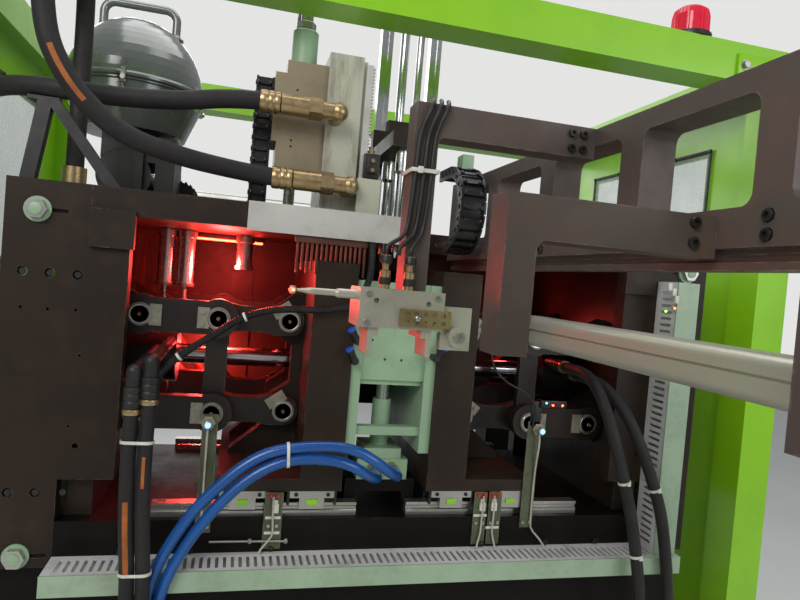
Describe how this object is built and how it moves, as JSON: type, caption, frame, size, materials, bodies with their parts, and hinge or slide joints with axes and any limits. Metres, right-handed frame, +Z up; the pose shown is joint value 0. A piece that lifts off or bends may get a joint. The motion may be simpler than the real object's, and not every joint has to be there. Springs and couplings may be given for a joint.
{
  "type": "blow moulding machine",
  "caption": "Extrusion blow moulding machine with a double-row toggle clamp, a split mould, blow pins above, a take-out beam with gripper, an extruder behind and a green tube guard.",
  "frame": {"origin": "on the floor, at the centre of the machine's footprint and in the mould's parting plane", "axes": "+X to the operator's right across the clamp, +Y from the front of the machine to its back, +Z up"},
  "size_m": [2.216, 2.6, 2.3],
  "materials": {
    "dark_paint": "worn dark brown paint, greasy edges",
    "link_paint": "blackened machined iron, oily",
    "black_rubber": "matt black rubber",
    "pale_strip": "worn pale grey coat, dirty at the edges",
    "bright_steel": "ground steel with oil film",
    "green_paint": "satin yellow-green paint",
    "clear_pane": "clear plastic pane, a little hazed",
    "red_lens": "translucent red lens",
    "pale_green_paint": "pale green paint with worn edges",
    "manifold_metal": "beige grey, dull",
    "vessel_paint": "dark grey-green gloss with dust",
    "foil": "crumpled foil wrap",
    "black_plastic": "matt black",
    "blue_hose": "glossy polyurethane tube",
    "brass": "dull brass",
    "bracket_metal": "passivated sheet",
    "beam_paint": "worn grey-mauve coat",
    "aluminium": "anodised, scuffed"
  },
  "bodies": {
    "machine": {"base_frame": "dark_paint", "leveling_feet": "black_rubber", "end_frame_left": "dark_paint", "end_frame_right": "dark_paint", "top_plate": "dark_paint", "front_strip": "pale_strip", "frame_bolts": "bright_steel", "slide_rails": "bright_steel", "cable_duct_lower": "pale_strip", "cable_duct_side": "pale_strip", "guard_frame": "green_paint", "guard_panels": "green_paint", "guard_windows": "clear_pane", "beacon": "red_lens", "pin_cylinder": "pale_green_paint", "blow_column": "pale_green_paint", "valve_manifold": "manifold_metal", "guide_columns": "bright_steel", "hopper": "vessel_paint", "hopper_lid": "vessel_paint", "extruder_barrel": "foil", "extruder_drive": "black_plastic", "die_head": "bright_steel", "hydraulic_hoses": "black_rubber", "air_hoses": "blue_hose", "hose_fittings": "brass", "sensor_brackets": "bracket_metal", "transfer_stand": "green_paint", "cable_chain_left": "black_plastic", "closing_cylinders": "black_plastic", "rear_cover": "dark_paint"},
    "clamp_left": {"platen_left": "dark_paint", "mould_left": "pale_green_paint", "slide_carriages_left": "bright_steel", "closing_rod_left": "bright_steel"},
    "clamp_right": {"platen_right": "dark_paint", "mould_right": "pale_green_paint", "slide_carriages_right": "bright_steel", "closing_rod_right": "bright_steel"},
    "tie_plates_left": {"tie_left": "link_paint"},
    "tie_plates_right": {"tie_right": "link_paint"},
    "blow_head": {"blow_carriage": "dark_paint", "blow_pins": "bright_steel"},
    "bottom_core": {"bottom_pin": "bright_steel"},
    "takeout": {"transfer_beam": "beam_paint", "arm_brackets": "beam_paint", "tray_profile": "aluminium", "gripper_body": "aluminium", "flow_valves": "brass", "cable_chain_beam": "black_plastic"},
    "finger_left": {"gripper_finger_left": "aluminium"},
    "finger_right": {"gripper_finger_right": "aluminium"},
    "outer_left_upper": {"outer_link_left_upper": "link_paint"},
    "inner_left_upper": {"inner_link_left_upper": "link_paint"},
    "outer_left_lower": {"outer_link_left_lower": "link_paint"},
    "inner_left_lower": {"inner_link_left_lower": "link_paint"},
    "outer_right_upper": {"outer_link_right_upper": "link_paint"},
    "inner_right_upper": {"inner_link_right_upper": "link_paint"},
    "outer_right_lower": {"outer_link_right_lower": "link_paint"},
    "inner_right_lower": {"inner_link_right_lower": "link_paint"}
  },
  "joints": [
    {"name": "clamp_left_slide", "type": "slide", "parent": "machine", "child": "clamp_left", "axis": [-1, 0, 0], "range_m": [0, 0.1]},
    {"name": "clamp_right_slide", "type": "slide", "parent": "machine", "child": "clamp_right", "axis": [1, 0, 0], "range_m": [0, 0.1]},
    {"name": "outer_left_upper_pivot", "type": "hinge", "parent": "machine", "child": "outer_left_upper", "pos_m": [-0.569, 0.3, 1.384], "axis": [0, -1, 0], "range_deg": [0, 46]},
    {"name": "inner_left_upper_pivot", "type": "hinge", "parent": "clamp_left", "child": "inner_left_upper", "pos_m": [-0.234, 0.3, 1.384], "axis": [0, 1, 0], "range_deg": [0, 47]},
    {"name": "outer_left_lower_pivot", "type": "hinge", "parent": "machine", "child": "outer_left_lower", "pos_m": [-0.569, 0.3, 1.165], "axis": [0, -1, 0], "range_deg": [0, 46]},
    {"name": "inner_left_lower_pivot", "type": "hinge", "parent": "clamp_left", "child": "inner_left_lower", "pos_m": [-0.234, 0.3, 1.165], "axis": [0, 1, 0], "range_deg": [0, 47]},
    {"name": "tie_left_pivot", "type": "hinge", "parent": "outer_left_upper", "child": "tie_plates_left", "pos_m": [-0.4, 0.3, 1.384], "axis": [0, 1, 0], "range_deg": [0, 46]},
    {"name": "outer_right_upper_pivot", "type": "hinge", "parent": "machine", "child": "outer_right_upper", "pos_m": [0.569, 0.3, 1.384], "axis": [0, 1, 0], "range_deg": [0, 46]},
    {"name": "inner_right_upper_pivot", "type": "hinge", "parent": "clamp_right", "child": "inner_right_upper", "pos_m": [0.234, 0.3, 1.384], "axis": [0, -1, 0], "range_deg": [0, 47]},
    {"name": "outer_right_lower_pivot", "type": "hinge", "parent": "machine", "child": "outer_right_lower", "pos_m": [0.569, 0.3, 1.165], "axis": [0, 1, 0], "range_deg": [0, 46]},
    {"name": "inner_right_lower_pivot", "type": "hinge", "parent": "clamp_right", "child": "inner_right_lower", "pos_m": [0.234, 0.3, 1.165], "axis": [0, -1, 0], "range_deg": [0, 47]},
    {"name": "tie_right_pivot", "type": "hinge", "parent": "outer_right_upper", "child": "tie_plates_right", "pos_m": [0.4, 0.3, 1.384], "axis": [0, -1, 0], "range_deg": [0, 46]},
    {"name": "blow_slide", "type": "slide", "parent": "machine", "child": "blow_head", "axis": [0, 0, -1], "range_m": [0, 0.12]},
    {"name": "bottom_slide", "type": "slide", "parent": "machine", "child": "bottom_core", "axis": [0, 0, -1], "range_m": [0, 0.04]},
    {"name": "takeout_slide", "type": "slide", "parent": "machine", "child": "takeout", "axis": [0, -1, 0], "range_m": [0, 0.3]},
    {"name": "finger_left_slide", "type": "slide", "parent": "takeout", "child": "finger_left", "axis": [-1, 0, 0], "range_m": [0, 0.012]},
    {"name": "finger_right_slide", "type": "slide", "parent": "takeout", "child": "finger_right", "axis": [1, 0, 0], "range_m": [0, 0.012]}
  ],
  "couplings": [
    {"joint": "clamp_right_slide", "follows": "clamp_left_slide", "ratio": 1},
    {"joint": "outer_left_upper_pivot", "follows": "clamp_left_slide", "rad_per_m": 7.8425},
    {"joint": "inner_left_upper_pivot", "follows": "clamp_left_slide", "rad_per_m": 8.0245},
    {"joint": "outer_left_lower_pivot", "follows": "clamp_left_slide", "rad_per_m": 7.8425},
    {"joint": "inner_left_lower_pivot", "follows": "clamp_left_slide", "rad_per_m": 8.0245},
    {"joint": "tie_left_pivot", "follows": "clamp_left_slide", "rad_per_m": 7.8425},
    {"joint": "outer_right_upper_pivot", "follows": "clamp_left_slide", "rad_per_m": 7.8425},
    {"joint": "inner_right_upper_pivot", "follows": "clamp_left_slide", "rad_per_m": 8.0245},
    {"joint": "outer_right_lower_pivot", "follows": "clamp_left_slide", "rad_per_m": 7.8425},
    {"joint": "inner_right_lower_pivot", "follows": "clamp_left_slide", "rad_per_m": 8.0245},
    {"joint": "tie_right_pivot", "follows": "clamp_left_slide", "rad_per_m": 7.8425},
    {"joint": "finger_right_slide", "follows": "finger_left_slide", "ratio": 1}
  ]
}
